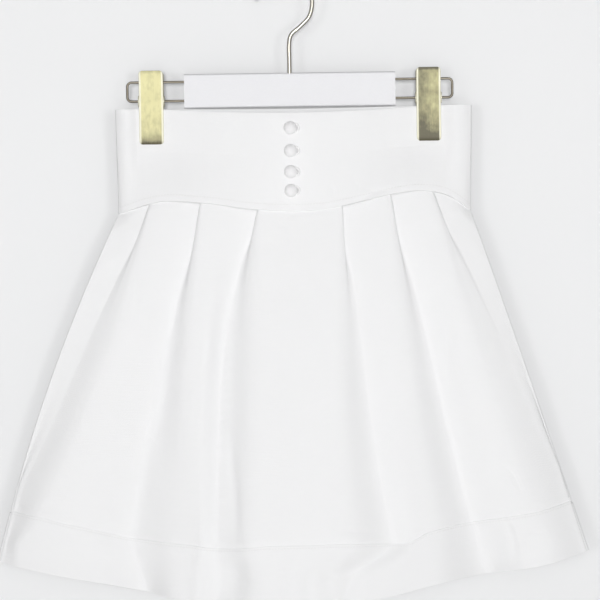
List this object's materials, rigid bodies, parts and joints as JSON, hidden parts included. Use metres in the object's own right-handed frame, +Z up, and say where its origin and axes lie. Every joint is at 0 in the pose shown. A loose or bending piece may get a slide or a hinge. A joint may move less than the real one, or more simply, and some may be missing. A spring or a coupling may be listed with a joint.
{
  "type": "flared skirt on a clip hanger",
  "caption": "High-waisted flared mini skirt with knife pleats, a deep hem band and covered dome buttons, held flat by a wire clip hanger.",
  "frame": {"origin": "the hang point, under the top of the hook, where a rail or a nail carries the hanger", "axes": "+Z up, -Y out of the skirt's front, +X to the right as seen from the front"},
  "size_m": [0.5576, 0.097, 0.5972],
  "materials": {
    "skirt_cloth": "white plain-weave cloth with a slubby thread, matt",
    "hem_cloth": "the same white cloth, doubled",
    "band_cloth": "the same white cloth over a firm interlining",
    "button_cloth": "white cloth drawn tight over a dome",
    "loop_cord": "narrow turned tube of the white cloth",
    "hook_metal": "pale champagne plating, polished",
    "frame_wire": "dull brass plating",
    "sleeve_card": "plain white, satin, with nothing printed on it",
    "clip_brass": "brushed pale brass with darker ends"
  },
  "bodies": {
    "root": {"skirt_front": "skirt_cloth", "skirt_back_left": "skirt_cloth", "skirt_back_right": "skirt_cloth", "hem_band_front": "hem_cloth", "hem_band_back_left": "hem_cloth", "hem_band_back_right": "hem_cloth", "band_front_left": "band_cloth", "band_front_centre": "band_cloth", "band_front_right": "band_cloth", "band_back_left": "band_cloth", "band_back_right": "band_cloth", "button_1": "button_cloth", "button_2": "button_cloth", "button_3": "button_cloth", "button_4": "button_cloth", "button_loop_1": "loop_cord", "button_loop_2": "loop_cord", "button_loop_3": "loop_cord", "button_loop_4": "loop_cord", "hanger_hook": "hook_metal", "hanger_frame": "frame_wire", "hanger_sleeve": "sleeve_card", "clip_left_front": "clip_brass", "clip_left_back": "clip_brass", "clip_left_pivot": "clip_brass", "clip_right_front": "clip_brass", "clip_right_back": "clip_brass", "clip_right_pivot": "clip_brass"}
  },
  "joints": []
}
